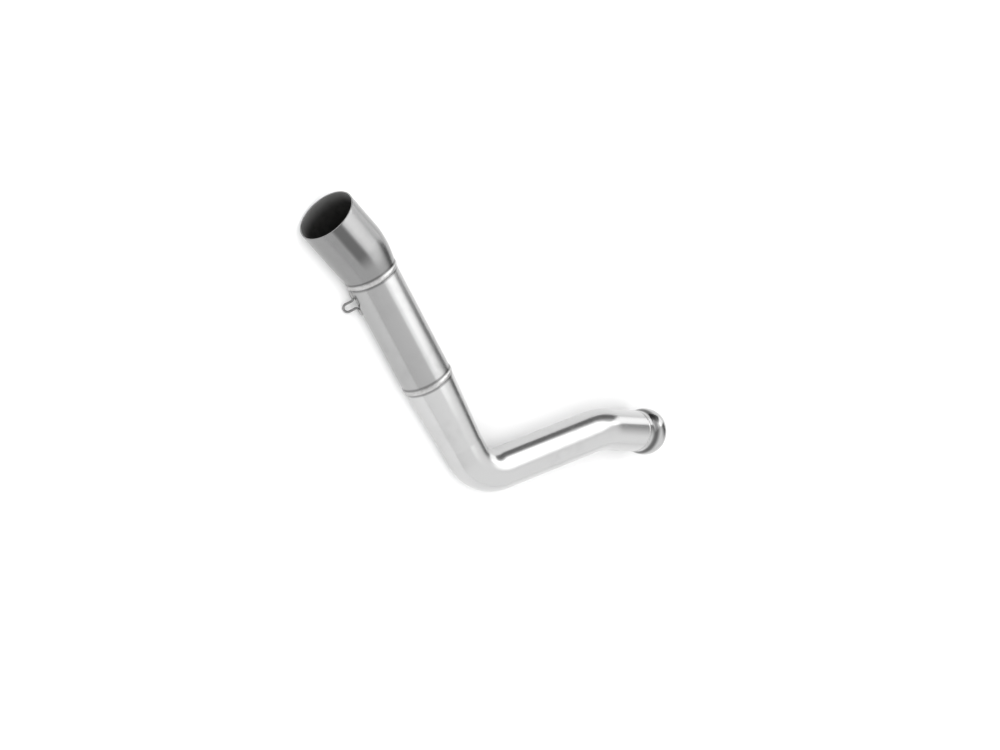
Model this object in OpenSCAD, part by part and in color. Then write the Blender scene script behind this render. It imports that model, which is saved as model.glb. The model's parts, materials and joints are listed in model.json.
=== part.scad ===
// Motorcycle decat pipe: a bent and welded stainless link pipe that stands in
// for the catalyst between the header and the silencer. It lies at rest on a
// flat surface, on its lower weld, its outlet and its inlet ball.

/* [Lower tube] */
// Outside diameter of the lower tube
tube_od = 45; // [42:0.5:46]
// Wall of every tube
wall = 1.2; // [1:0.1:2]
// Straight end beside the inlet collar
inlet_run = 53; // [40:1:80]
// Straight leg between the two lower bends
leg_run = 128; // [90:1:170]
// Straight stretch between the elbow and the cone
riser_run = 16; // [5:1:40]
// Length of the cone that widens the tube to the sleeve
cone_run = 82; // [50:1:110]

/* [Bends] */
// Angle of the bend beside the inlet
inlet_bend_angle = 24; // [15:1:35]
// Centreline radius of the bend beside the inlet
inlet_bend_r = 62; // [50:1:90]
// Turn of the tube about its own axis before the elbow
elbow_roll = -146; // [-156:1:-136]
// Angle of the elbow
elbow_angle = 71; // [60:1:80]
// Centreline radius of the elbow
elbow_r = 40; // [36:1:60]
// Turn of the tube about its own axis before the outlet bend
outlet_roll = -162; // [-175:1:-150]
// Angle of the outlet bend
outlet_bend_angle = 17; // [10:1:25]
// Centreline radius of the outlet bend
outlet_bend_r = 120; // [90:1:160]

/* [Inlet collar] */
// Rise from the lower tube out to the ball that seals against the header
ball_rise = 3; // [1:0.25:4]
// Plain neck between the lower tube and the ball
neck_run = 6.5; // [5:0.5:15]
// Distance from the ball's middle to the inlet's rim
ball_nose = 8.5; // [5:0.5:10]
// Radius of the hollow blend between the neck and the ball
neck_blend = 4; // [3:0.5:12]

/* [Sleeve and outlet] */
// Outside diameter of the straight sleeve
sleeve_od = 54; // [51:0.5:56]
// Length of the straight sleeve
sleeve_run = 131; // [100:1:160]
// Rise from the sleeve out to the outlet, under their weld
outlet_rise = 0.75; // [0.25:0.25:1.5]
// Straight land at the outlet's start, under the weld
outlet_land = 4; // [3:0.5:8]
// Inside diameter of the outlet socket, which takes a 60 mm silencer pipe
socket_bore_d = 60.5; // [59:0.1:62]
// Straight length of the outlet socket
socket_run = 46; // [35:1:70]

/* [Welds] */
// Width of the weld beads on the sleeve
bead_w = 6.5; // [4:0.5:9]
// Height of the weld beads over the larger tube
bead_h = 0.9; // [0.5:0.1:1.5]
// Width of the dressed weld on the inlet collar
fine_bead_w = 2.4; // [1.5:0.1:4]
// Height of the dressed weld on the inlet collar
fine_bead_h = 0.3; // [0.2:0.05:0.6]

/* [Spring hook] */
// Thickness of the hook's wire
wire_d = 2.6; // [2:0.1:3.5]
// Height of the hook over the sleeve
hook_h = 16; // [12:0.5:22]
// Width of the gap inside the hook
hook_gap = 6.4; // [4.5:0.1:9]
// Length of the hook along the sleeve, over both feet
hook_span = 26; // [24:1:36]
// Inside radius of the bends at the hook's feet
hook_foot_r = 1.6; // [1:0.1:2.5]
// Distance between the upper weld and the hook's near foot
hook_clear = 5; // [3:0.5:20]
// Place of the hook round the sleeve
hook_angle = 148; // [120:1:175]

/* [Hidden] */

$fn = 96;
tube_id = tube_od - 2 * wall;
sleeve_id = sleeve_od - 2 * wall;
outlet_start_od = sleeve_od + 2 * outlet_rise;
socket_od = socket_bore_d + 2 * wall;
hook_setback = bead_w / 2 + hook_clear + hook_span / 2;   // from the weld to the hook's middle
foot_seat = 0.1;                              // how deep the hook's feet bed into the sleeve
foot_x = sleeve_od / 2 + wire_d / 2 - foot_seat;
foot_bend_r = hook_foot_r + wire_d / 2;
hook_bead_r = wire_d * 0.85;                  // radius of the weld at the hook's feet
hook_bead_run = 4;                            // its straight length
ball_r = tube_od / 2 + ball_rise;
cone_end_d = sleeve_od - (sleeve_od - tube_od) * bead_w / 2 / cone_run;  // at the weld's toe
bend_lap = 0.2;      // how far a straight reaches into a bend
bend_swell = 0.04;   // how much fatter a bend is than the straights
cut_past = 1;        // how far a bore's cutter runs past an open end
rest_steps = 12;     // rounds of the search for the resting plane
bend_rings = 10;     // rings in the outlet's tapered bend
bend_sides = 60;     // sides of each of those rings
skin_inset = 0.06;   // how far that bend's ends lie inside the walls that hold them
skin_lap = 0.7;      // and how deep they reach into those walls
reach_steps = 24;    // stations along a bend when its extent is measured

// The hollow blend touches the neck and the ball from outside. Its middle lies
// this far out from the collar's axis and this far behind the ball's middle.
blend_out = tube_od / 2 + neck_blend;
blend_back = sqrt(pow(ball_r + neck_blend, 2) - pow(blend_out, 2));
neck_length = neck_run + blend_back;

// Steps along the pipe. A place on it is a frame whose Z runs along the tube
// and whose X is the side that the next bend turns to.
function shift(v) = [[1, 0, 0, v.x], [0, 1, 0, v.y], [0, 0, 1, v.z], [0, 0, 0, 1]];
function spin(a) = [[cos(a), -sin(a), 0, 0], [sin(a), cos(a), 0, 0], [0, 0, 1, 0], [0, 0, 0, 1]];
function lean(a) = [[cos(a), 0, sin(a), 0], [0, 1, 0, 0], [-sin(a), 0, cos(a), 0], [0, 0, 0, 1]];
function along(run) = shift([0, 0, run]);
function round_bend(r, a) = shift([r * (1 - cos(a)), 0, r * sin(a)]) * lean(a);

// Position and direction of a frame
function place(m) = [for (row = [0 : 2]) m[row][3]];
function axis(m) = [for (row = [0 : 2]) m[row][2]];
function side(m, a) = [for (row = [0 : 2]) m[row][0] * cos(a) + m[row][1] * sin(a)];
function unit(v) = v / norm(v);

// Frames at the joints and bends, from the inlet to the outlet. The first is
// where the lower tube meets the collar.
at_collar = shift([0, 0, 0]);
at_inlet_bend = at_collar * along(inlet_run);
at_leg = at_inlet_bend * round_bend(inlet_bend_r, inlet_bend_angle);
at_elbow = at_leg * along(leg_run) * spin(elbow_roll);
at_riser = at_elbow * round_bend(elbow_r, elbow_angle);
at_cone = at_riser * along(riser_run);
at_lower_weld = at_cone * along(cone_run);
at_upper_weld = at_lower_weld * along(sleeve_run);
at_outlet = at_upper_weld * spin(outlet_roll) * along(outlet_land);
at_socket = at_outlet * round_bend(outlet_bend_r, outlet_bend_angle);
at_mouth = at_socket * along(socket_run);
at_ball = at_collar * along(-neck_length);
at_hook = at_upper_weld * along(-hook_setback) * spin(hook_angle);

// Outside radius of the outlet at a share of its tapered bend: it widens
// fast beside the weld and levels off into the socket.
function taper(share) =
    outlet_start_od / 2 + (socket_od - outlet_start_od) / 2 * (1 - pow(1 - share, 2));
function bend_frame(share) = at_outlet * round_bend(outlet_bend_r, outlet_bend_angle * share);

// How far round tube stations reach along a direction. A station is a frame
// and a radius, and its farthest point is on the circle or on the ball.
function rim_point(m, r, d) =
    let (across = d - (d * axis(m)) * axis(m)) place(m) + r * unit(across);
function farthest(points, d) =
    let (reach = [for (p = points) p * d], i = search(max(reach), reach)[0]) points[i];
function outlet_points(d) =
    [for (i = [0 : bend_rings]) rim_point(bend_frame(i / bend_rings), taper(i / bend_rings), d),
     rim_point(at_mouth, socket_od / 2, d)];
function ball_point(d) = place(at_ball) + ball_r * d;
function bead_point(d) = rim_point(at_lower_weld, sleeve_od / 2 + bead_h, d);

// The pipe lies on three points: its lower weld, its outlet and its inlet
// ball. Each round takes the lowest point of each for the last direction of
// down and lays the plane through them.
function facing(n, d) = n * d < 0 ? -unit(n) : unit(n);
function floor_normal(a, b, c, d) = facing(cross(b - a, c - a), d);
function rest_down(d, steps) = steps == 0 ? d :
    rest_down(floor_normal(ball_point(d), bead_point(d), farthest(outlet_points(d), d), d), steps - 1);
first_down = floor_normal(place(at_ball), place(at_lower_weld), place(at_upper_weld),
                          place(at_upper_weld) - place(at_mouth));
down = rest_down(first_down, rest_steps);

// The row's axes in the pipe's frame: up, along the sleeve, and across it
up = -down;
fore = unit(axis(at_upper_weld) - (axis(at_upper_weld) * up) * up);
left = cross(up, fore);

// Everything that can be outermost to one side, for the middle of the box
function elbow_points(d) =
    [for (i = [0 : reach_steps])
        rim_point(at_elbow * round_bend(elbow_r, elbow_angle * i / reach_steps), tube_od / 2, d)];
function nose_point(d) =
    let (nose = at_ball * along(-ball_nose), nose_r = sqrt(ball_r * ball_r - ball_nose * ball_nose))
    -(d * axis(at_ball)) * ball_r > ball_nose ? rim_point(nose, nose_r, d) : ball_point(d);
function hook_point(d) = place(at_hook * shift([sleeve_od / 2 + hook_h - wire_d / 2, 0, 0])) + wire_d / 2 * d;
function reach(d) = max([for (p = concat(elbow_points(d), outlet_points(d),
                                         [nose_point(d), hook_point(d), bead_point(d)])) p * d]);
middle = fore * (reach(fore) - reach(-fore)) / 2 + left * (reach(left) - reach(-left)) / 2
         + down * (ball_point(down) * down);
function row_of(v) = [v.x, v.y, v.z, -(v * middle)];
at_rest = [row_of(fore), row_of(left), row_of(up), [0, 0, 0, 1]];

// Puts a shape at a frame on the resting pipe
module at(frame) {
    multmatrix(at_rest * frame) children();
}

// Solid bar along a frame's Z
module bar(d, run, past_start = 0, past_end = 0) {
    translate([0, 0, -past_start]) cylinder(d = d, h = run + past_start + past_end);
}

// Open tube along a frame's Z
module tube(d, run) {
    difference() {
        bar(d, run);
        bar(d - 2 * wall, run, cut_past, cut_past);
    }
}

// Solid round bar along a bend
module bent_bar(d, r, a) {
    translate([r, 0, 0]) rotate([90, 0, 180]) rotate_extrude(angle = a) translate([r, 0]) circle(d = d);
}

// The lower tube's run as a solid, at a given narrow and wide diameter. The
// straights reach a little way into the bends, which are a trace fatter.
module lower_run(narrow, wide, past = 0) {
    at(at_collar) bar(narrow, inlet_run, past, bend_lap);
    at(at_inlet_bend) bent_bar(narrow + bend_swell, inlet_bend_r, inlet_bend_angle);
    at(at_leg) bar(narrow, leg_run, bend_lap, bend_lap);
    at(at_elbow) bent_bar(narrow + bend_swell, elbow_r, elbow_angle);
    at(at_riser) riser(narrow, wide, past);
}

// Straight and cone above the elbow, turned as one
module riser(narrow, wide, past) {
    rotate_extrude()
    polygon([[0, -bend_lap], [narrow / 2, -bend_lap], [narrow / 2, riser_run],
             [wide / 2, riser_run + cone_run], [wide / 2, riser_run + cone_run + past],
             [0, riser_run + cone_run + past]]);
}

// Bent lower tube with its cone, one piece
module lower_tube() {
    color([0.77, 0.78, 0.79])
    difference() {
        lower_run(tube_od, sleeve_od);
        lower_run(tube_id, sleeve_id, past = cut_past);
    }
}

// Half outline of the collar, with the ball's middle at the origin and the
// inlet upwards. The triangle joins the middles of the ball and the blend.
module collar_outline() {
    difference() {
        union() {
            intersection() {
                circle(r = ball_r);
                translate([0, -blend_back]) square([ball_r, blend_back + ball_nose]);
            }
            translate([0, -neck_length]) square([tube_od / 2, neck_length]);
            difference() {
                polygon([[0, 0], [0, -blend_back], [blend_out, -blend_back]]);
                translate([blend_out, -blend_back]) circle(r = neck_blend);
            }
        }
        translate([0, -neck_length - cut_past])
            square([tube_id / 2, neck_length + ball_nose + 2 * cut_past]);
    }
}

// Turned collar with the ball that seals in the header's cup
module inlet_collar() {
    color([0.72, 0.73, 0.74])
    at(at_ball) rotate([180, 0, 0]) rotate_extrude() collar_outline();
}

// Crowned ring over the joint of two tubes, from toe to toe. It is solid to
// the root, and each weld cuts away the tubes that it sits on.
module bead_ring(d_before, d_after, w, h) {
    slope = atan((d_after - d_before) / 2 / w);
    chord = w / cos(slope);
    crown_r = (chord * chord / 4 + h * h) / (2 * h);
    rotate_extrude()
    translate([(d_before + d_after) / 4, 0])
    intersection() {
        rotate(-slope) translate([h - crown_r, 0]) circle(r = crown_r);
        translate([-wall, -w]) square([wall + 2 * h, 2 * w]);
    }
}

// Dressed weld between the lower tube and the collar
module collar_weld() {
    color([0.62, 0.63, 0.64])
    at(at_collar)
    difference() {
        bead_ring(tube_od, tube_od, fine_bead_w, fine_bead_h);
        bar(tube_od, 2 * fine_bead_w, 2 * fine_bead_w, 0);
    }
}

// Weld between the cone and the sleeve
module lower_weld() {
    color([0.82, 0.83, 0.84])
    at(at_lower_weld)
    difference() {
        bead_ring(cone_end_d, sleeve_od, bead_w, bead_h);
        translate([0, 0, -cone_run]) cylinder(d1 = tube_od, d2 = sleeve_od, h = cone_run);
        bar(sleeve_od, 2 * bead_w);
    }
}

// Straight sleeve
module sleeve_tube() {
    color([0.74, 0.75, 0.76])
    at(at_lower_weld) tube(sleeve_od, sleeve_run);
}

// One ring of the tapered bend
function bend_ring(m, r) = [for (s = [0 : bend_sides - 1]) place(m) + r * side(m, 360 * s / bend_sides)];

// Rings down the outside of the tapered bend and back up its inside. The ends
// run into the walls of the land and the socket, which hold them all round.
function skin_rings(inset) =
    [each bend_ring(at_outlet * along(-skin_lap), outlet_start_od / 2 - inset),
     for (i = [0.5 : bend_rings]) each bend_ring(bend_frame(i / bend_rings), taper(i / bend_rings) - inset),
     each bend_ring(at_socket * along(skin_lap), socket_od / 2 - inset)];

// Tapered bend as one closed skin
module tapered_bend() {
    rings = bend_rings + 2;
    function outer(i, s) = i * bend_sides + s % bend_sides;
    function inner(i, s) = rings * bend_sides + outer(i, s);
    function facet(a, b, c, d) = [[a, b, c], [a, c, d]];
    sides = [0 : bend_sides - 1];
    skin = [for (i = [0 : rings - 2], s = sides)
            each concat(facet(outer(i, s), outer(i + 1, s), outer(i + 1, s + 1), outer(i, s + 1)),
                        facet(inner(i, s), inner(i, s + 1), inner(i + 1, s + 1), inner(i + 1, s)))];
    ends = [for (s = sides)
            each concat(facet(outer(0, s), outer(0, s + 1), inner(0, s + 1), inner(0, s)),
                        facet(outer(rings - 1, s), inner(rings - 1, s),
                              inner(rings - 1, s + 1), outer(rings - 1, s + 1)))];
    at(shift([0, 0, 0]))
    polyhedron(concat(skin_rings(skin_inset), skin_rings(wall - skin_inset)), concat(skin, ends));
}

// Outlet: a land, a tapered bend and the straight socket, expanded from one tube
module outlet_socket() {
    color([0.76, 0.77, 0.78]) {
        at(at_upper_weld) tube(outlet_start_od, outlet_land);
        tapered_bend();
        at(at_socket) tube(socket_od, socket_run);
    }
}

// Weld between the sleeve and the outlet
module upper_weld() {
    color([0.86, 0.87, 0.88])
    at(at_upper_weld)
    difference() {
        bead_ring(sleeve_od, outlet_start_od, bead_w, bead_h);
        bar(outlet_start_od, 2 * bead_w);
        bar(sleeve_od, 0, 2 * bead_w);
    }
}

// Arc of the hook's wire about the origin, flat in X and Y
module wire_arc(r, from, sweep) {
    rotate([0, 0, from]) rotate_extrude(angle = sweep) translate([r, 0]) circle(d = wire_d);
}

// Stretch of the hook's wire along X
module wire_run(from, to) {
    translate([from, 0, 0]) rotate([0, 90, 0]) cylinder(d = wire_d, h = to - from);
}

// One half of the hook, flat in X and Y: X leads out from the sleeve's axis
// and Y runs along the sleeve
module half_hook() {
    wire_side = (hook_gap + wire_d) / 2;
    crown_x = sleeve_od / 2 + hook_h - wire_d / 2 - wire_side;
    translate([crown_x, 0, 0]) wire_arc(wire_side, 0, 90);
    translate([0, wire_side, 0]) wire_run(foot_x + foot_bend_r, crown_x);
    translate([foot_x + foot_bend_r, wire_side + foot_bend_r, 0]) wire_arc(foot_bend_r, 180, 90);
    translate([foot_x, hook_span / 2, 0]) rotate([0, 0, -90])
        wire_run(0, hook_span / 2 - wire_side - foot_bend_r);
}

// Hook for the silencer's spring, bent from one wire
module hook_wire() {
    half_hook();
    mirror([0, 1, 0]) half_hook();
}

// The sleeve's outside beside the hook, in the hook's own axes
module hook_seat() {
    rotate([90, 0, 0]) cylinder(d = sleeve_od, h = 2 * hook_span, center = true);
}

module spring_hook() {
    color([0.45, 0.46, 0.47])
    at(at_hook) rotate([90, 0, 0])
    difference() {
        hook_wire();
        hook_seat();
    }
}

// Weld round one foot of the hook: a round-ended bead that the foot and the
// sleeve are cut from
module hook_weld(end) {
    color([0.35, 0.36, 0.37])
    at(at_hook) rotate([90, 0, 0])
    difference() {
        translate([sleeve_od / 2, end * (hook_span - hook_bead_run) / 2, 0])
        rotate([90, 0, 0]) {
            cylinder(r = hook_bead_r, h = hook_bead_run, center = true);
            for (half = [-1, 1]) translate([0, 0, half * hook_bead_run / 2]) sphere(r = hook_bead_r);
        }
        hook_wire();
        hook_seat();
    }
}

module hook_weld_upper() {
    hook_weld(1);
}

module hook_weld_lower() {
    hook_weld(-1);
}

inlet_collar();
collar_weld();
lower_tube();
lower_weld();
sleeve_tube();
upper_weld();
outlet_socket();
spring_hook();
hook_weld_upper();
hook_weld_lower();
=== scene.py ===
"""Studio picture of a motorcycle decat pipe: polished, welded stainless tube on a pale floor.

The pipe's solids come in as a fixed frame. This script gives them their finishes, puts a smooth
outlet and rippled weld beads in place of the plain ones, and sets the floor, light and camera.
"""

from __future__ import annotations

import json
import logging
import math
from dataclasses import dataclass, field
from enum import Enum
from typing import Any, Mapping, Optional, Sequence, Union

import bmesh
import bpy
from mathutils import Matrix, Vector

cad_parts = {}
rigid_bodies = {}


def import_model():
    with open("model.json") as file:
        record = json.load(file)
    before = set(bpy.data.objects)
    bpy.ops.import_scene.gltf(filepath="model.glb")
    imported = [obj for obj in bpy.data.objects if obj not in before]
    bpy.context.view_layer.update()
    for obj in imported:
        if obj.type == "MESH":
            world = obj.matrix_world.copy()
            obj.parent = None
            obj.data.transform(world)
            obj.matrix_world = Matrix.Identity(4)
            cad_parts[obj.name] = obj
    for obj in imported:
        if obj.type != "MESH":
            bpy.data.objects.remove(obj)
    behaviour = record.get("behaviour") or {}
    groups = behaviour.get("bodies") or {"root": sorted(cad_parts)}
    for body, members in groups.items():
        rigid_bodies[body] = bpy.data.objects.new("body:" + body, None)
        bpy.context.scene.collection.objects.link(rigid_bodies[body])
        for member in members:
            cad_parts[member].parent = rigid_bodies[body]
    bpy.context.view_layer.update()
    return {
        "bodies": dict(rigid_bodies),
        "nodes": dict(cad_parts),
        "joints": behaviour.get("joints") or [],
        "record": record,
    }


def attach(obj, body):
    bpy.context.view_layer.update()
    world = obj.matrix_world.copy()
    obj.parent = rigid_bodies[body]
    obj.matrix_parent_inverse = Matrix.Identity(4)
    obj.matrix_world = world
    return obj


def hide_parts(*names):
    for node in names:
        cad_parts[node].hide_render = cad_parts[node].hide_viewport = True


LOG = logging.getLogger("decat_pipe")
MM = 0.001
BODY = "root"


class Finish(Enum):
    """Material slots of the record, and the floor."""

    TUBE = "tube_steel"
    SLEEVE = "sleeve_steel"
    OUTLET = "outlet_steel"
    COLLAR = "collar_steel"
    WELD = "weld_steel"
    HOOK = "hook_steel"
    HOOK_WELD = "hook_weld_steel"
    FLOOR = "studio_floor"


# ---- Shader and geometry maths


class Value:
    """A number that varies over a surface: one output of a node."""

    def __init__(self, graph: "Graph", socket: bpy.types.NodeSocket) -> None:
        """Keeps the socket and the graph that it belongs to."""
        self.graph = graph
        self.socket = socket

    def __add__(self, other: "Term") -> "Value":
        """Sum."""
        return self.graph.maths("ADD", self, other)

    def __sub__(self, other: "Term") -> "Value":
        """Difference."""
        return self.graph.maths("SUBTRACT", self, other)

    def __rsub__(self, other: "Term") -> "Value":
        """Difference from a plain number."""
        return self.graph.maths("SUBTRACT", other, self)

    def __mul__(self, other: "Term") -> "Value":
        """Product."""
        return self.graph.maths("MULTIPLY", self, other)

    def __truediv__(self, other: "Term") -> "Value":
        """Quotient."""
        return self.graph.maths("DIVIDE", self, other)

    def __lt__(self, other: "Term") -> "Value":
        """1 where this is less than the other, else 0."""
        return self.graph.maths("LESS_THAN", self, other)

    __radd__ = __add__
    __rmul__ = __mul__


Term = Union[Value, float]


class Graph:
    """A node tree, with one method that adds any node and short forms for its maths."""

    def __init__(self, tree: bpy.types.NodeTree) -> None:
        """Keeps the tree."""
        self.tree = tree

    def node(
        self,
        kind: str,
        settings: Optional[Mapping[str, Any]] = None,
        inputs: Optional[Mapping[Union[int, str], Any]] = None,
    ) -> bpy.types.Node:
        """Adds a node.

        Args:
            kind: The node's type.
            settings: Its properties, set before its sockets.
            inputs: Values or links for its sockets, by name or number.

        Returns:
            The node.
        """
        made = self.tree.nodes.new(kind)
        for name, value in (settings or {}).items():
            setattr(made, name, value)
        for key, value in (inputs or {}).items():
            socket = made.inputs[key]
            if isinstance(value, Value):
                self.tree.links.new(value.socket, socket)
            elif isinstance(value, bpy.types.NodeSocket):
                self.tree.links.new(value, socket)
            else:
                socket.default_value = value
        return made

    def maths(self, operation: str, *terms: Term) -> Value:
        """One Math node on one to three numbers."""
        made = self.node("ShaderNodeMath", {"operation": operation}, dict(enumerate(terms)))
        return Value(self, made.outputs[0])

    def vector(self, operation: str, *terms: Any) -> Value:
        """One Vector Math node that gives a vector."""
        made = self.node("ShaderNodeVectorMath", {"operation": operation}, dict(enumerate(terms)))
        return Value(self, made.outputs["Vector"])

    def measure(self, operation: str, *terms: Any) -> Value:
        """One Vector Math node that gives a number, such as a length or a dot product."""
        made = self.node("ShaderNodeVectorMath", {"operation": operation}, dict(enumerate(terms)))
        return Value(self, made.outputs["Value"])

    def scaled(self, direction: Any, amount: Term) -> Value:
        """A direction times a number."""
        made = self.node("ShaderNodeVectorMath", {"operation": "SCALE"}, {0: direction, "Scale": amount})
        return Value(self, made.outputs["Vector"])

    def between(self, value: Term, low: float, high: float) -> Value:
        """The value held between two limits."""
        return Value(self, self.node("ShaderNodeClamp", None, {0: value, 1: low, 2: high}).outputs[0])

    def rise(self, value: Term, low: float, high: float, start: float = 0.0, end: float = 1.0) -> Value:
        """Smooth step from start to end as the value goes from low to high."""
        made = self.node(
            "ShaderNodeMapRange",
            {"interpolation_type": "SMOOTHSTEP"},
            {"Value": value, "From Min": low, "From Max": high, "To Min": start, "To Max": end},
        )
        return Value(self, made.outputs["Result"])

    def noise(self, where: Any, scale: float, detail: float = 3.0, roughness: float = 0.5) -> Value:
        """Cloudy noise around a half, at a scale in repeats for each unit of the place."""
        made = self.node(
            "ShaderNodeTexNoise",
            None,
            {"Vector": where, "Scale": scale, "Detail": detail, "Roughness": roughness},
        )
        return Value(self, made.outputs["Fac"])

    def blend(self, share: Term, first: Any, second: Any) -> Value:
        """Colour between two colours."""
        made = self.node(
            "ShaderNodeMix", {"data_type": "RGBA"}, {"Factor": share, 6: first, 7: second}
        )
        return Value(self, made.outputs[2])


def grey(level: float, warmth: float = 0.0) -> tuple[float, float, float, float]:
    """Grey of a given level, a trace warmer or cooler."""
    return (level * (1 + warmth), level, level * (1 - warmth), 1.0)


# ---- The pipe's run


def shift(x: float, y: float, z: float) -> Matrix:
    """Step by x, y and z."""
    return Matrix.Translation((x, y, z))


def along(run: float) -> Matrix:
    """Step along the tube."""
    return shift(0, 0, run)


def spin(degrees: float) -> Matrix:
    """Turn about the tube's own axis."""
    return Matrix.Rotation(math.radians(degrees), 4, "Z")


def round_bend(radius: float, degrees: float) -> Matrix:
    """Step through a bend towards the frame's X."""
    turn = math.radians(degrees)
    step = shift(radius * (1 - math.cos(turn)), 0, radius * math.sin(turn))
    return step @ Matrix.Rotation(turn, 4, "Y")


@dataclass(frozen=True)
class PipeSizes:
    """Sizes of the pipe in millimetres and degrees, as its solids have them."""

    tube_od: float = 45.0
    wall: float = 1.2
    inlet_run: float = 53.0
    leg_run: float = 128.0
    riser_run: float = 16.0
    cone_run: float = 82.0
    inlet_bend_angle: float = 24.0
    inlet_bend_r: float = 62.0
    elbow_roll: float = -146.0
    elbow_angle: float = 71.0
    elbow_r: float = 40.0
    outlet_roll: float = -162.0
    outlet_bend_angle: float = 17.0
    outlet_bend_r: float = 120.0
    sleeve_od: float = 54.0
    sleeve_run: float = 131.0
    outlet_rise: float = 0.75
    outlet_land: float = 4.0
    socket_bore_d: float = 60.5
    socket_run: float = 46.0
    bead_w: float = 6.5
    bead_h: float = 0.9

    @property
    def outlet_start_r(self) -> float:
        """Outside radius of the outlet where it is welded on."""
        return self.sleeve_od / 2 + self.outlet_rise

    @property
    def socket_r(self) -> float:
        """Outside radius of the socket."""
        return self.socket_bore_d / 2 + self.wall

    def taper(self, share: float) -> float:
        """Outside radius of the outlet at a share of its bend."""
        return self.outlet_start_r + (self.socket_r - self.outlet_start_r) * (1 - (1 - share) ** 2)


class PipePath:
    """Frames along the pipe, in millimetres, each with its Z along the tube."""

    def __init__(self, sizes: PipeSizes, record: Mapping[str, Any]) -> None:
        """Works the frames out from the record's mounts.

        Args:
            sizes: The pipe's sizes.
            record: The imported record, whose mounts give the outlet's place and two directions.
        """
        self.sizes = sizes
        mounts = {mount["name"]: mount for mount in record["mounts"]}
        socket = mounts["outlet_socket_bore"]
        ahead = Vector(mounts["spring_hook_loop"]["axis"]).normalized()
        outward = Vector(socket["axis"]).normalized()
        side = (outward - ahead * outward.dot(ahead)).normalized()
        middle = Vector(socket["pos_m"]) / MM
        across = outward.cross(side)
        at_socket = Matrix.Identity(4)
        for column, axis in enumerate((across.cross(outward), across.normalized(), outward)):
            at_socket.col[column] = (*axis.normalized(), 0)
        at_socket.col[3] = (*(middle - outward * sizes.socket_run / 2), 1)
        self.socket = at_socket
        self.outlet = at_socket @ round_bend(sizes.outlet_bend_r, sizes.outlet_bend_angle).inverted()
        self.upper_weld = self.outlet @ along(-sizes.outlet_land) @ spin(-sizes.outlet_roll)
        self.lower_weld = self.upper_weld @ along(-sizes.sleeve_run)
        self.cone = self.lower_weld @ along(-sizes.cone_run)
        self.riser = self.cone @ along(-sizes.riser_run)
        self.elbow = self.riser @ round_bend(sizes.elbow_r, sizes.elbow_angle).inverted()
        self.leg = self.elbow @ spin(-sizes.elbow_roll) @ along(-sizes.leg_run)
        self.inlet_bend = self.leg @ round_bend(sizes.inlet_bend_r, sizes.inlet_bend_angle).inverted()
        self.collar = self.inlet_bend @ along(-sizes.inlet_run)

    def outlet_bend(self, share: float) -> Matrix:
        """Frame at a share of the outlet's bend."""
        return self.outlet @ round_bend(self.sizes.outlet_bend_r, self.sizes.outlet_bend_angle * share)


@dataclass(frozen=True)
class Along:
    """Where a point of the surface is on the pipe: how far along it, and how far from its middle."""

    place: Value
    station: Value
    radius: Value


def origin(frame: Matrix) -> tuple[float, float, float]:
    """Place of a frame."""
    return tuple(frame.to_translation())


def direction(frame: Matrix, column: int) -> tuple[float, float, float]:
    """One of a frame's axes."""
    return tuple(frame.col[column][:3])


class StraightGuide:
    """Reads a place along one straight tube."""

    def __init__(self, start: Matrix) -> None:
        """Keeps the tube's start."""
        self.start = start

    def read(self, graph: Graph) -> Along:
        """Adds the nodes that work out the station and the radius."""
        place = object_place(graph)
        arm = graph.vector("SUBTRACT", place, origin(self.start))
        axis = direction(self.start, 2)
        station = graph.measure("DOT_PRODUCT", arm, axis)
        radial = graph.vector("SUBTRACT", arm, graph.scaled(axis, station))
        return Along(place, station, graph.measure("LENGTH", radial))


class BentGuide:
    """Reads a place along the lower tube, through both of its bends."""

    def __init__(self, path: PipePath) -> None:
        """Keeps the pipe's frames."""
        self.path = path

    def read(self, graph: Graph) -> Along:
        """Adds the nodes that work out the station and the radius.

        Each straight and each bend adds its own share of the way, held to its own length, so
        the sum is the station on the middle line.
        """
        path, sizes = self.path, self.path.sizes
        place = object_place(graph)
        centre: Any = origin(path.collar)
        station: Term = 0.0
        rest_run = sizes.riser_run + sizes.cone_run
        for start, run, bend_start, bend_r, angle in (
            (path.collar, sizes.inlet_run, path.inlet_bend, sizes.inlet_bend_r, sizes.inlet_bend_angle),
            (path.leg, sizes.leg_run, path.elbow, sizes.elbow_r, sizes.elbow_angle),
            (path.riser, rest_run, None, 0.0, 0.0),
        ):
            arm = graph.vector("SUBTRACT", place, origin(start))
            straight = graph.between(graph.measure("DOT_PRODUCT", arm, direction(start, 2)), 0.0, run)
            centre = graph.vector("ADD", centre, graph.scaled(direction(start, 2), straight))
            station = straight + station
            if bend_start is None:
                continue
            pivot = bend_start @ shift(bend_r, 0, 0)
            arm = graph.vector("SUBTRACT", place, origin(pivot))
            ahead = graph.measure("DOT_PRODUCT", arm, direction(pivot, 2))
            inward = graph.measure("DOT_PRODUCT", arm, direction(pivot, 0))
            turn = graph.between(graph.maths("ARCTAN2", ahead, 0.0 - inward), 0.0, math.radians(angle))
            side_step = bend_r - graph.maths("COSINE", turn) * bend_r
            centre = graph.vector("ADD", centre, graph.scaled(direction(pivot, 0), side_step))
            ahead_step = graph.maths("SINE", turn) * bend_r
            centre = graph.vector("ADD", centre, graph.scaled(direction(pivot, 2), ahead_step))
            station = station + turn * bend_r
        return Along(place, station, graph.measure("DISTANCE", place, centre))


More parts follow.
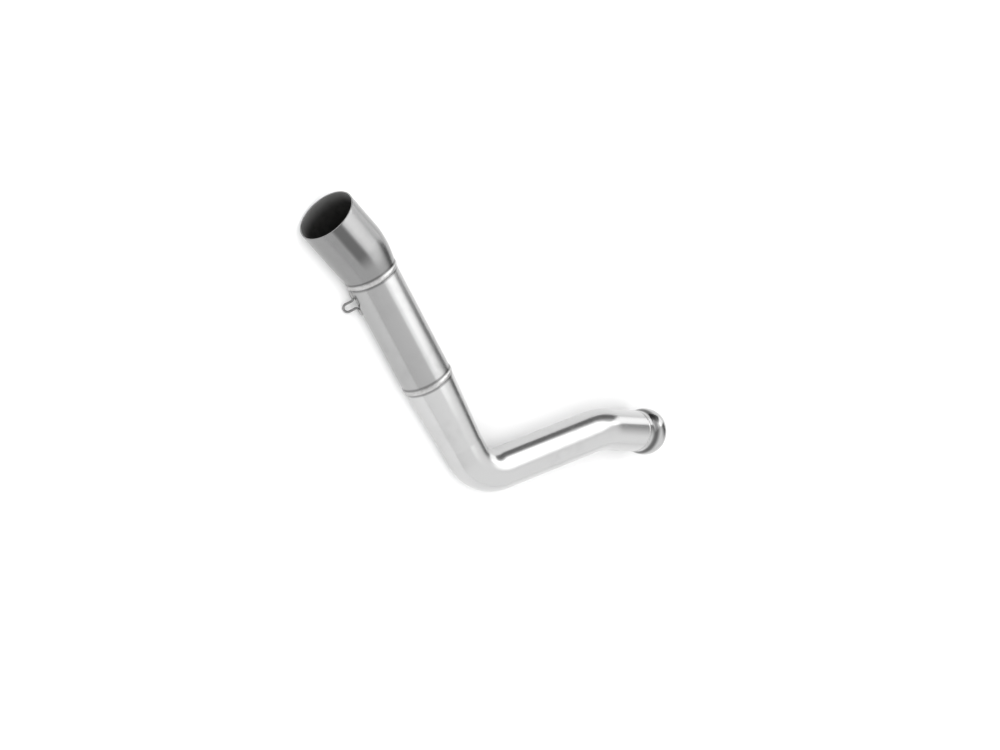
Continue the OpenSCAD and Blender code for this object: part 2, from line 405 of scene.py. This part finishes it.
class OwnGuide:
    """Reads a place from the attributes of a piece that was made here."""

    def read(self, graph: Graph) -> Along:
        """Adds the nodes that read the station and the radius."""
        station = graph.node("ShaderNodeAttribute", {"attribute_name": "station"}).outputs["Fac"]
        radius = graph.node("ShaderNodeAttribute", {"attribute_name": "radius"}).outputs["Fac"]
        return Along(object_place(graph), Value(graph, station), Value(graph, radius))


Guide = Union[StraightGuide, BentGuide, OwnGuide]


def object_place(graph: Graph) -> Value:
    """The surface's place in millimetres."""
    coordinates = graph.node("ShaderNodeTexCoord").outputs["Object"]
    return graph.scaled(coordinates, 1 / MM)


# ---- Finishes


def surface(name: Finish, shader_inputs: Mapping[str, Any]) -> tuple[bpy.types.Material, Graph, bpy.types.Node]:
    """Starts a material with one surface shader.

    Args:
        name: The finish.
        shader_inputs: What is the same all over the surface.

    Returns:
        The material, its graph and its shader.
    """
    material = bpy.data.materials.new(name.value)
    material.use_nodes = True
    graph = Graph(material.node_tree)
    graph.tree.nodes.clear()
    shader = graph.node("ShaderNodeBsdfPrincipled", None, shader_inputs)
    graph.node("ShaderNodeOutputMaterial", None, {"Surface": shader.outputs[0]})
    return material, graph, shader


def set_inputs(graph: Graph, shader: bpy.types.Node, inputs: Mapping[str, Value]) -> None:
    """Links what varies over the surface to the shader."""
    for name, value in inputs.items():
        graph.tree.links.new(value.socket, shader.inputs[name])


@dataclass(frozen=True)
class PaintedDarkBand:
    """A dark reflection band painted along a tube, on the side that faces one way."""

    facing: tuple[float, float, float]
    full: float
    gone: float
    start: tuple[float, float]
    strength: float

    def share(self, graph: Graph, at: Along) -> Value:
        """Adds the nodes that say how strongly a place is painted dark."""
        normal = graph.node("ShaderNodeTexCoord").outputs["Normal"]
        towards = graph.measure("DOT_PRODUCT", normal, tuple(Vector(self.facing).normalized()))
        near = graph.rise(towards, math.cos(math.radians(self.gone)), math.cos(math.radians(self.full)))
        return near * graph.rise(at.station, *self.start) * self.strength


@dataclass(frozen=True)
class PolishedSteel:
    """Polished stainless tube: fine marks round it, faint smudges, painted shade at its weld toes, and a dull bore
    painted dark for its shade.
    """

    name: Finish
    guide: Guide
    bore_r: float
    bore_growth: float = 0.0
    level: float = 0.5
    roughness: float = 0.2
    grain: float = 0.035
    grain_pitch: float = 0.35
    smudge: float = 0.08
    # Stations round which the colour is darkened as painted shade, with the band's half width and strength.
    shaded_toes: tuple[float, ...] = ()
    toe_shade_width: float = 3.0
    toe_shade_strength: float = 0.6
    # Stations over which the bore is painted lighter, as light falling in at the mouth.
    lit_bore: tuple[float, float] = (1e3, 2e3)
    streak_and_painted_band: Optional[PaintedDarkBand] = None

    def build(self) -> bpy.types.Material:
        """Makes the material."""
        material, graph, shader = surface(self.name, {"Metallic": 1.0})
        at = self.guide.read(graph)
        lines = self.lines(graph, at)
        cloud = graph.noise(at.place, 0.018, 4.0, 0.55)
        patch = graph.noise(at.place, 0.06, 3.0, 0.6)
        smudge = graph.rise(cloud, 0.42, 0.68) * graph.rise(patch, 0.35, 0.75)
        inside = at.radius < self.bore_limit(at)
        bore_mottle = graph.rise(graph.noise(at.place, 0.08, 4.0, 0.6), 0.3, 0.7)
        outer = graph.blend(smudge, grey(self.level), grey(self.level * (1 - self.smudge)))
        # Painted shade: the base colour darkens in a band round each listed toe station, towards a fifth of the
        # level.
        for toe_shade in self.shaded_toes:
            near = graph.rise(graph.maths("ABSOLUTE", at.station - toe_shade), 0.5, self.toe_shade_width, 1.0, 0.0)
            outer = graph.blend(near * self.toe_shade_strength, outer, grey(self.level * 0.2))
        # Painted reflection: a dark band on the side that faces the band's direction, over a run of stations.
        if self.streak_and_painted_band is not None:
            outer = graph.blend(self.streak_and_painted_band.share(graph, at), outer, grey(self.level * 0.2))
        # Painted shade: the bore is dark grey, mottled at random; painted light lifts it towards mid grey near the
        # mouth.
        inner = graph.blend(bore_mottle, grey(0.1, 0.02), grey(0.16, 0.02))
        inner = graph.blend(graph.rise(at.station, *self.lit_bore), inner, grey(0.5))
        polish = self.roughness + (lines - 0.5) * self.grain * 2 + smudge * 0.07
        height = lines * self.grain
        bump = graph.node("ShaderNodeBump", None, {"Strength": 0.2, "Distance": 0.02 * MM, "Height": height})
        set_inputs(
            graph,
            shader,
            {
                "Base Color": graph.blend(inside, outer, inner),
                "Roughness": polish + inside * 0.35,
                "Normal": Value(graph, bump.outputs[0]),
            },
        )
        return material

    def lines(self, graph: Graph, at: Along) -> Value:
        """Fine polishing marks that run round the tube."""
        drift = graph.scaled(at.place, 0.03)
        marks = graph.node("ShaderNodeCombineXYZ", None, {0: at.station / self.grain_pitch})
        return graph.noise(graph.vector("ADD", Value(graph, marks.outputs[0]), drift), 1.0, 2.0, 0.6)

    def bore_limit(self, at: Along) -> Term:
        """Radius under which the surface is the bore's, which may grow along the tube."""
        return self.bore_r + at.station * self.bore_growth if self.bore_growth else self.bore_r


@dataclass(frozen=True)
class ConedSteel(PolishedSteel):
    """Polished stainless on the tube that widens in a cone at its far end."""

    cone_start: float = 0.0
    cone_run: float = 1.0
    cone_growth: float = 0.0

    def bore_limit(self, at: Along) -> Term:
        """Radius under which the surface is the bore's."""
        share = at.station.graph.between((at.station - self.cone_start) / self.cone_run, 0.0, 1.0)
        return share * self.cone_growth + self.bore_r


@dataclass(frozen=True)
class WeldSteel:
    """Bright weld metal with a faint bloom, and painted shade at its toes."""

    name: Finish
    level: float = 0.5
    roughness: float = 0.3
    speckle: float = 0.9

    def build(self) -> bpy.types.Material:
        """Makes the material."""
        material, graph, shader = surface(self.name, {"Metallic": 1.0})
        place = object_place(graph)
        bloom = graph.noise(place, 0.35, 4.0, 0.6)
        pits = graph.noise(place, self.speckle * 2, 3.0, 0.6)
        bump = graph.node("ShaderNodeBump", None, {"Strength": 0.25, "Distance": 0.05 * MM, "Height": pits})
        colour = graph.blend(graph.rise(bloom, 0.35, 0.7), grey(self.level), grey(self.level * 0.78, 0.015))
        across = graph.node("ShaderNodeAttribute", {"attribute_name": "across"}).outputs["Fac"]
        # Painted shade: the bead's colour darkens towards both of its edges.
        toe_shade = graph.rise(graph.maths("ABSOLUTE", Value(graph, across)), 0.4, 0.95)
        colour = graph.blend(toe_shade * 0.7, colour, grey(self.level * 0.25))
        rough = graph.rise(pits, 0.3, 0.7, self.roughness - 0.06, self.roughness + 0.1)
        set_inputs(
            graph, shader, {"Base Color": colour, "Roughness": rough, "Normal": Value(graph, bump.outputs[0])}
        )
        return material


@dataclass(frozen=True)
class DrawnWire:
    """Drawn wire: dull grey with streaks along the sleeve's direction."""

    name: Finish
    level: float = 0.3
    roughness: float = 0.34

    def build(self) -> bpy.types.Material:
        """Makes the material."""
        material, graph, shader = surface(self.name, {"Metallic": 1.0})
        place = object_place(graph)
        streak_and_painted_band = graph.noise(graph.vector("MULTIPLY", place, (0.6, 3.0, 3.0)), 1.0, 3.0, 0.6)
        blotch = graph.noise(place, 0.5, 3.0, 0.5)
        bump = graph.node("ShaderNodeBump", None, {"Strength": 0.2, "Distance": 0.03 * MM, "Height": streak_and_painted_band})
        colour = graph.blend(graph.rise(blotch, 0.35, 0.7), grey(self.level), grey(self.level * 0.6))
        rough = graph.rise(streak_and_painted_band, 0.3, 0.7, self.roughness - 0.07, self.roughness + 0.1)
        set_inputs(
            graph, shader, {"Base Color": colour, "Roughness": rough, "Normal": Value(graph, bump.outputs[0])}
        )
        return material


@dataclass(frozen=True)
class StudioFloor:
    """Matt white floor."""

    name: Finish = Finish.FLOOR
    level: float = 0.9

    def build(self) -> bpy.types.Material:
        """Makes the material."""
        material, graph, shader = surface(self.name, {"Metallic": 0.0, "Specular IOR Level": 0.1})
        shade = graph.noise(object_place(graph), 0.004, 2.0, 0.5)
        colour = graph.blend(shade, grey(self.level), grey(self.level * 0.99))
        set_inputs(graph, shader, {"Base Color": colour, "Roughness": graph.rise(shade, 0.2, 0.8, 0.75, 0.85)})
        return material


# ---- Meshes


@dataclass(frozen=True)
class Ring:
    """One ring of a turned or swept skin: its frame, its radius and its station in millimetres."""

    frame: Matrix
    radius: float
    station: float


def skin(name: str, rings: Sequence[Ring], sides: int, attributes: Mapping[str, Sequence[float]]) -> bpy.types.Object:
    """Closed skin over a loop of rings, the last joined to the first.

    Args:
        name: Name of the object.
        rings: The rings in order round the wall.
        sides: Number of sides of each ring.
        attributes: For each attribute, its value on each ring.

    Returns:
        The object, with its place in its mesh.
    """
    shell = bmesh.new()
    rows = []
    for ring in rings:
        rows.append(
            [
                shell.verts.new(
                    ring.frame @ Vector((ring.radius * math.cos(a), ring.radius * math.sin(a), 0)) * MM
                )
                for a in (2 * math.pi * s / sides for s in range(sides))
            ]
        )
    for one, two in zip(rows, rows[1:] + rows[:1]):
        for s in range(sides):
            t = (s + 1) % sides
            shell.faces.new((one[s], one[t], two[t], two[s])).smooth = True
    bmesh.ops.recalc_face_normals(shell, faces=shell.faces)
    mesh = bpy.data.meshes.new(name)
    shell.to_mesh(mesh)
    shell.free()
    for key, values in attributes.items():
        layer = mesh.attributes.new(key, "FLOAT", "POINT")
        layer.data.foreach_set("value", [v for v in values for _ in range(sides)])
    piece = bpy.data.objects.new(name, mesh)
    bpy.context.scene.collection.objects.link(piece)
    return piece


@dataclass
class Outlet:
    """The outlet: a land, a bend that widens and the straight socket, in one smooth wall."""

    path: PipePath
    sides: int = 144
    bend_rings: int = 40
    socket_rings: int = 16
    lip: float = 0.35
    name: str = "outlet_shell"

    def build(self, material: bpy.types.Material) -> bpy.types.Object:
        """Makes the outlet and lets it stand for its plain solid."""
        outer = self.outer_rings()
        rim = self.rim_rings()
        wall = self.path.sizes.wall
        inner = [Ring(r.frame, r.radius - wall, r.station) for r in reversed(outer)]
        rings = [*outer, *rim, *inner]
        piece = skin(
            self.name,
            rings,
            self.sides,
            {
                "station": [r.station for r in rings],
                "radius": [1.0] * (len(outer) + len(rim)) + [0.0] * len(inner),
            },
        )
        piece.data.materials.append(material)
        mark_creases(piece, 50)
        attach(piece, BODY)
        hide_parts("outlet_socket")
        return piece

    def outer_rings(self) -> list[Ring]:
        """Rings down the outside, from the weld to the mouth."""
        sizes, path = self.path.sizes, self.path
        start_r, land = sizes.outlet_start_r, sizes.outlet_land
        start = path.outlet @ along(-land)
        rings = [Ring(start @ along(z), start_r, z) for z in (0.0, land / 2)]
        bend_run = math.radians(sizes.outlet_bend_angle) * sizes.outlet_bend_r
        for i in range(self.bend_rings + 1):
            share = i / self.bend_rings
            rings.append(Ring(path.outlet_bend(share), sizes.taper(share), land + share * bend_run))
        straight = sizes.socket_run - self.lip
        for i in range(1, self.socket_rings + 1):
            z = straight * i / self.socket_rings
            rings.append(Ring(path.socket @ along(z), sizes.socket_r, land + bend_run + z))
        return rings

    def rim_rings(self, steps: int = 5) -> list[Ring]:
        """Rings over the mouth's rounded lip, from the outside to the inside."""
        sizes = self.path.sizes
        bend_run = math.radians(sizes.outlet_bend_angle) * sizes.outlet_bend_r
        end = sizes.socket_run - self.lip
        rings = []
        for corner_r, first in ((sizes.socket_r - self.lip, 0.0), (sizes.socket_r - sizes.wall + self.lip, 90.0)):
            for i in range(1 if first == 0.0 else 0, steps if first else steps + 1):
                a = math.radians(first + 90.0 * i / steps)
                z = end + self.lip * math.sin(a)
                radius = corner_r + self.lip * math.cos(a)
                station = sizes.outlet_land + bend_run + z
                rings.append(Ring(self.path.socket @ along(z), radius, station))
        return rings


def mark_creases(piece: bpy.types.Object, degrees: float) -> None:
    """Keeps the edges sharper than an angle crisp in a smooth mesh."""
    shell = bmesh.new()
    shell.from_mesh(piece.data)
    limit = math.radians(degrees)
    for edge in shell.edges:
        edge.smooth = edge.calc_face_angle(0.0) < limit
    shell.to_mesh(piece.data)
    shell.free()


@dataclass
class WeldBead:
    """A weld round the sleeve, with the ripples that its pools leave."""

    name: str
    node: str
    frame: Matrix
    before_r: float
    after_r: float
    width: float
    height: float
    ripples: int
    depth: float = 0.09
    seed: int = 3
    segments: int = 1120
    crown_points: int = 15
    bury: float = 0.25

    def build(self, material: bpy.types.Material) -> bpy.types.Object:
        """Makes the bead and lets it stand for its plain solid."""
        plain = self.ring()
        piece = rippled(plain, self, material)
        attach(piece, BODY)
        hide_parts(self.node)
        return piece

    def section(self) -> list[tuple[float, float, float]]:
        """Section of the bead as places along, radii, and shares across its crown from -1 to 1."""
        points = []
        for i in range(self.crown_points):
            share = 2 * i / (self.crown_points - 1) - 1
            base = (self.before_r + self.after_r) / 2 + (self.after_r - self.before_r) / 2 * share
            points.append((share * self.width / 2, base + self.height * (1 - share * share), share))
        points.append((self.width / 2, self.after_r - self.bury, 1.0))
        points.append((-self.width / 2, self.before_r - self.bury, -1.0))
        return points

    def ring(self) -> bpy.types.Object:
        """The bead before its ripples, with the attributes that the ripples read."""
        section = self.section()
        shell = bmesh.new()
        rows = []
        for s in range(self.segments):
            a = 2 * math.pi * s / self.segments
            rows.append(
                [
                    shell.verts.new(self.frame @ Vector((r * math.cos(a), r * math.sin(a), z)) * MM)
                    for z, r, _ in section
                ]
            )
        count = len(section)
        for one, two in zip(rows, rows[1:] + rows[:1]):
            for i in range(count):
                j = (i + 1) % count
                shell.faces.new((one[i], one[j], two[j], two[i])).smooth = True
        bmesh.ops.recalc_face_normals(shell, faces=shell.faces)
        mesh = bpy.data.meshes.new(self.name)
        shell.to_mesh(mesh)
        shell.free()
        turn = mesh.attributes.new("turn", "FLOAT", "POINT")
        turn.data.foreach_set("value", [s / self.segments for s in range(self.segments) for _ in section])
        across = mesh.attributes.new("across", "FLOAT", "POINT")
        across.data.foreach_set("value", [share for _ in range(self.segments) for _, _, share in section])
        piece = bpy.data.objects.new(self.name, mesh)
        bpy.context.scene.collection.objects.link(piece)
        return piece


def ripple_tree() -> bpy.types.NodeTree:
    """Geometry nodes that raise overlapping ripples along a bead."""
    tree = bpy.data.node_groups.new("weld_ripples", "GeometryNodeTree")
    tree.interface.new_socket("Geometry", in_out="INPUT", socket_type="NodeSocketGeometry")
    for name in ("Ripples", "Ripple Depth", "Sweep Back", "Unevenness", "Seed"):
        tree.interface.new_socket(name, in_out="INPUT", socket_type="NodeSocketFloat")
    tree.interface.new_socket("Finish", in_out="INPUT", socket_type="NodeSocketMaterial")
    tree.interface.new_socket("Geometry", in_out="OUTPUT", socket_type="NodeSocketGeometry")
    graph = Graph(tree)
    given = graph.node("NodeGroupInput").outputs
    turn = read_attribute(graph, "turn")
    across = read_attribute(graph, "across")
    place = graph.node("GeometryNodeInputPosition").outputs[0]
    uneven = graph.node(
        "ShaderNodeTexNoise", {"noise_dimensions": "4D"}, {"Vector": place, "W": given["Seed"], "Scale": 160.0}
    )
    wander = (Value(graph, uneven.outputs["Fac"]) - 0.5) * Value(graph, given["Unevenness"])
    lag = across * across * Value(graph, given["Sweep Back"])
    phase = graph.maths("FRACT", turn * Value(graph, given["Ripples"]) + lag + wander)
    crest = 1 - graph.maths("POWER", graph.maths("ABSOLUTE", phase * 2 - 1), 2.0)
    fade = 1 - graph.maths("POWER", graph.maths("ABSOLUTE", across), 4.0)
    lift = (crest - 0.6) * fade * Value(graph, given["Ripple Depth"])
    normal = graph.node("GeometryNodeInputNormal").outputs[0]
    moved = graph.node(
        "GeometryNodeSetPosition", None, {"Geometry": given["Geometry"], "Offset": graph.scaled(normal, lift)}
    )
    smooth = graph.node("GeometryNodeSetShadeSmooth", None, {"Geometry": moved.outputs[0]})
    real = graph.node("GeometryNodeRealizeInstances", None, {"Geometry": smooth.outputs[0]})
    dressed = graph.node(
        "GeometryNodeSetMaterial", None, {"Geometry": real.outputs[0], "Material": given["Finish"]}
    )
    graph.node("NodeGroupOutput", None, {"Geometry": dressed.outputs[0]})
    return tree


def read_attribute(graph: Graph, name: str) -> Value:
    """A float attribute of the mesh in geometry nodes."""
    made = graph.node("GeometryNodeInputNamedAttribute", {"data_type": "FLOAT"}, {"Name": name})
    return Value(graph, made.outputs["Attribute"])


def rippled(plain: bpy.types.Object, bead: WeldBead, material: bpy.types.Material) -> bpy.types.Object:
    """Runs the ripples on a plain bead and turns the result into a plain mesh.

    Args:
        plain: The bead before its ripples.
        bead: Its sizes.
        material: Its finish.

    Returns:
        The same object with the rippled mesh.
    """
    tree = bpy.data.node_groups.get("weld_ripples") or ripple_tree()
    modifier = plain.modifiers.new("ripples", "NODES")
    modifier.node_group = tree
    values = {
        "Ripples": float(bead.ripples),
        "Ripple Depth": bead.depth * MM,
        "Sweep Back": 0.45,
        "Unevenness": 0.5,
        "Seed": float(bead.seed),
        "Finish": material,
    }
    for item in tree.interface.items_tree:
        if item.in_out == "INPUT" and item.name in values:
            modifier[item.identifier] = values[item.name]
    ready = plain.evaluated_get(bpy.context.evaluated_depsgraph_get())
    mesh = bpy.data.meshes.new_from_object(ready)
    plain.modifiers.clear()
    plain.data = mesh
    return plain


# ---- The parts of the pipe


@dataclass
class LowerPipe:
    """The bent lower tube and its collar; the weld between them gets its finish with the upper pipe's welds."""

    path: PipePath
    nodes: Mapping[str, bpy.types.Object]

    def dress(self) -> None:
        """Gives the solids their finishes."""
        sizes = self.path.sizes
        before_cone = (
            sizes.inlet_run
            + math.radians(sizes.inlet_bend_angle) * sizes.inlet_bend_r
            + sizes.leg_run
            + math.radians(sizes.elbow_angle) * sizes.elbow_r
            + sizes.riser_run
        )
        tube = ConedSteel(
            Finish.TUBE,
            BentGuide(self.path),
            bore_r=sizes.tube_od / 2 - sizes.wall / 2,
            # Painted shade beside the lower weld bead.
            shaded_toes=(before_cone + sizes.cone_run - sizes.bead_w / 2,),
            cone_start=before_cone,
            cone_run=sizes.cone_run,
            cone_growth=(sizes.sleeve_od - sizes.tube_od) / 2,
        )
        collar = PolishedSteel(
            Finish.COLLAR,
            StraightGuide(self.path.collar),
            bore_r=sizes.tube_od / 2 - sizes.wall / 2,
            level=0.44,
            roughness=0.15,
            grain_pitch=0.25,
            grain=0.05,
            # Painted shade in a wide, strong band round the collar, 10 mm out from the start of the inlet straight.
            shaded_toes=(-10.0,),
            toe_shade_width=6.5,
            toe_shade_strength=0.95,
        )
        put_on(self.nodes["lower_tube"], tube.build())
        put_on(self.nodes["inlet_collar"], collar.build())


@dataclass
class Sleeve:
    """The straight sleeve with its spring hook."""

    path: PipePath
    nodes: Mapping[str, bpy.types.Object]

    def dress(self) -> None:
        """Gives the solids their finishes."""
        sizes = self.path.sizes
        steel = PolishedSteel(
            Finish.SLEEVE,
            StraightGuide(self.path.lower_weld),
            bore_r=sizes.sleeve_od / 2 - sizes.wall / 2,
            # Level below the tube's 0.5: a darker copy of the same polished steel, painted shade.
            level=0.36,
            roughness=0.23,
            smudge=0.16,
            # Painted shade beside both weld beads.
            shaded_toes=(sizes.bead_w / 2, sizes.sleeve_run - sizes.bead_w / 2),
        )
        put_on(self.nodes["sleeve_tube"], steel.build())
        put_on(self.nodes["spring_hook"], DrawnWire(Finish.HOOK).build())
        weld = WeldSteel(Finish.HOOK_WELD, level=0.42, roughness=0.38).build()
        put_on(self.nodes["hook_weld_upper"], weld)
        put_on(self.nodes["hook_weld_lower"], weld)


@dataclass
class UpperPipe:
    """The outlet, and the weld beads at both ends of the sleeve."""

    path: PipePath
    nodes: Mapping[str, bpy.types.Object]

    def build(self) -> list[bpy.types.Object]:
        """Makes the outlet and the beads."""
        sizes, path = self.path.sizes, self.path
        weld = WeldSteel(Finish.WELD).build()
        put_on(self.nodes["collar_weld"], weld)
        mouth = sizes.outlet_land + math.radians(sizes.outlet_bend_angle) * sizes.outlet_bend_r + sizes.socket_run
        steel = PolishedSteel(
            Finish.OUTLET,
            OwnGuide(),
            bore_r=0.5,
            # Level about half the tube's: a darker copy of the same polished steel, painted shade.
            level=0.24,
            roughness=0.22,
            # Painted shade beside the upper bead, painted light in the bore near the mouth, and a painted dark
            # reflection band on one side.
            shaded_toes=(sizes.bead_w / 2,),
            lit_bore=(mouth - 18.0, mouth),
            streak_and_painted_band=PaintedDarkBand((-0.18, 0.48, 0.86), full=6.0, gone=15.0, start=(16.0, 44.0), strength=0.7),
        )
        toe_r = sizes.sleeve_od / 2 - (sizes.sleeve_od - sizes.tube_od) / 4 * sizes.bead_w / sizes.cone_run
        return [
            Outlet(path).build(steel.build()),
            WeldBead(
                "upper_bead",
                "upper_weld",
                path.upper_weld,
                sizes.sleeve_od / 2,
                sizes.outlet_start_r,
                sizes.bead_w,
                sizes.bead_h,
                ripples=118,
                seed=5,
            ).build(weld),
            WeldBead(
                "lower_bead",
                "lower_weld",
                path.lower_weld,
                toe_r,
                sizes.sleeve_od / 2,
                sizes.bead_w,
                sizes.bead_h,
                ripples=112,
                seed=9,
            ).build(weld),
        ]


def put_on(node: bpy.types.Object, material: bpy.types.Material) -> None:
    """Gives every slot of a solid a material."""
    for slot in node.material_slots:
        slot.material = material


# ---- The studio


@dataclass(frozen=True)
class SoftBox:
    """A soft rectangular light."""

    name: str
    place: tuple[float, float, float]
    aim: tuple[float, float, float]
    size: tuple[float, float]
    brightness: float
    mirrored: bool = True
    spread: bool = True

    def build(self) -> bpy.types.Object:
        """Adds the light, as bright on its face as brightness says whatever its size."""
        light = bpy.data.lights.new(self.name, "AREA")
        light.shape = "RECTANGLE"
        light.size, light.size_y = self.size
        light.energy = self.brightness * self.size[0] * self.size[1] * math.pi
        lamp = bpy.data.objects.new(self.name, light)
        lamp.location = self.place
        lamp.rotation_euler = (Vector(self.aim) - Vector(self.place)).to_track_quat("-Z", "Y").to_euler()
        lamp.visible_glossy = self.mirrored
        lamp.visible_diffuse = self.spread
        bpy.context.scene.collection.objects.link(lamp)
        return lamp


@dataclass(frozen=True)
class SkyPatch:
    """A patch of the studio's walls with a brightness of its own."""

    facing: tuple[float, float, float]
    full: float
    gone: float
    level: float
    fades_up: Optional[tuple[float, float]] = None

    def share(self, graph: Graph, way: Any) -> Value:
        """Adds the nodes that say how much of a direction the patch takes.

        Args:
            graph: The world's graph.
            way: The direction that is looked in.

        Returns:
            A share that is 1 in the patch's middle and 0 outside it.
        """
        towards = graph.measure("DOT_PRODUCT", way, tuple(Vector(self.facing).normalized()))
        near = graph.rise(towards, math.cos(math.radians(self.gone)), math.cos(math.radians(self.full)))
        if self.fades_up is None:
            return near
        low, high = (math.sin(math.radians(a)) for a in self.fades_up)
        height = graph.measure("DOT_PRODUCT", way, (0.0, 0.0, 1.0))
        return near * graph.rise(height, low, high, 1.0, 0.0)


@dataclass
class Studio:
    """Pale floor, soft light and the camera."""

    floor_size: float = 40.0
    target: tuple[float, float, float] = (-0.0319, 0.0242, 0.0412)
    azimuth: float = 54.41
    elevation: float = 47.32
    roll: float = 89.77
    distance: float = 3.1395
    lens: float = 108.0
    walls: float = 1.02
    patches: Sequence[SkyPatch] = field(
        default_factory=lambda: (
            SkyPatch((-1.0, 0.05, 0.2), 42.0, 75.0, 1.3),
            SkyPatch((0.09, -1.0, 0.0), 36.0, 66.0, 0.18, (14.0, 40.0)),
        )
    )
    boxes: Sequence[SoftBox] = field(
        default_factory=lambda: (
            SoftBox("overhead_core", (0.1, -0.41, 0.6), (0.1, -0.41, 0.0), (0.64, 0.76), 1.7, spread=False),
            SoftBox("overhead_rim", (0.1, -0.39, 0.6), (0.1, -0.39, 0.0), (0.84, 1.02), 1.0, spread=False),
            SoftBox("side_strip", (-0.61, -3.06, 1.0), (-0.19, -0.09, 0.03), (0.9, 2.1), 1.7, spread=False),
            SoftBox("floor_fill", (0.9, 1.3, 1.5), (0.0, 0.0, 0.0), (2.0, 2.0), 3.2, mirrored=False),
        )
    )

    def build(self) -> None:
        """Sets the floor, the surroundings, the lights and the camera."""
        self.floor()
        self.surroundings()
        for box in self.boxes:
            box.build()
        self.camera()
        settings = bpy.context.scene.view_settings
        settings.view_transform = "Standard"
        settings.look = "None"

    def floor(self) -> None:
        """Lays the floor under the pipe."""
        mesh = bpy.data.meshes.new("floor")
        half = self.floor_size / 2
        mesh.from_pydata([(-half, -half, 0), (half, -half, 0), (half, half, 0), (-half, half, 0)], [], [(0, 1, 2, 3)])
        floor = bpy.data.objects.new("floor", mesh)
        mesh.materials.append(StudioFloor().build())
        bpy.context.scene.collection.objects.link(floor)

    def surroundings(self) -> None:
        """Pale studio walls with their brighter and darker patches."""
        world = bpy.data.worlds.new("studio")
        world.use_nodes = True
        bpy.context.scene.world = world
        graph = Graph(world.node_tree)
        graph.tree.nodes.clear()
        way = graph.node("ShaderNodeTexCoord").outputs["Generated"]
        wall: Any = grey(self.walls)
        for patch in self.patches:
            wall = graph.blend(patch.share(graph, way), wall, grey(patch.level))
        light = graph.node("ShaderNodeBackground", None, {"Color": wall, "Strength": 1.0})
        graph.node("ShaderNodeOutputWorld", None, {"Surface": light.outputs[0]})

    def camera(self) -> None:
        """Places the camera at the photograph's angle."""
        turn, rise, roll = (math.radians(a) for a in (self.azimuth, self.elevation, self.roll))
        back = Vector((math.cos(turn) * math.cos(rise), math.sin(turn) * math.cos(rise), math.sin(rise)))
        level = Vector((0, 0, 1)).cross(back).normalized()
        upright = back.cross(level)
        right = level * math.cos(roll) + upright * math.sin(roll)
        frame = Matrix.Identity(4)
        for column, axis in enumerate((right, back.cross(right), back)):
            frame.col[column] = (*axis, 0)
        frame.col[3] = (*(Vector(self.target) + back * self.distance), 1)
        data = bpy.data.cameras.new("camera")
        data.lens = self.lens
        data.sensor_width = 36.0
        data.clip_end = 100.0
        camera = bpy.data.objects.new("camera", data)
        camera.matrix_world = frame
        bpy.context.scene.collection.objects.link(camera)
        bpy.context.scene.camera = camera


def main() -> None:
    """Builds the picture."""
    logging.basicConfig(level=logging.INFO, format="%(message)s")
    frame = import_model()
    path = PipePath(PipeSizes(), frame["record"])
    nodes = frame["nodes"]
    LowerPipe(path, nodes).dress()
    LOG.info("lower tube and collar dressed")
    Sleeve(path, nodes).dress()
    LOG.info("sleeve and hook dressed")
    for piece in UpperPipe(path, nodes).build():
        LOG.info("%s: %d faces", piece.name, len(piece.data.polygons))
    Studio().build()


if __name__ == "__main__":
    main()
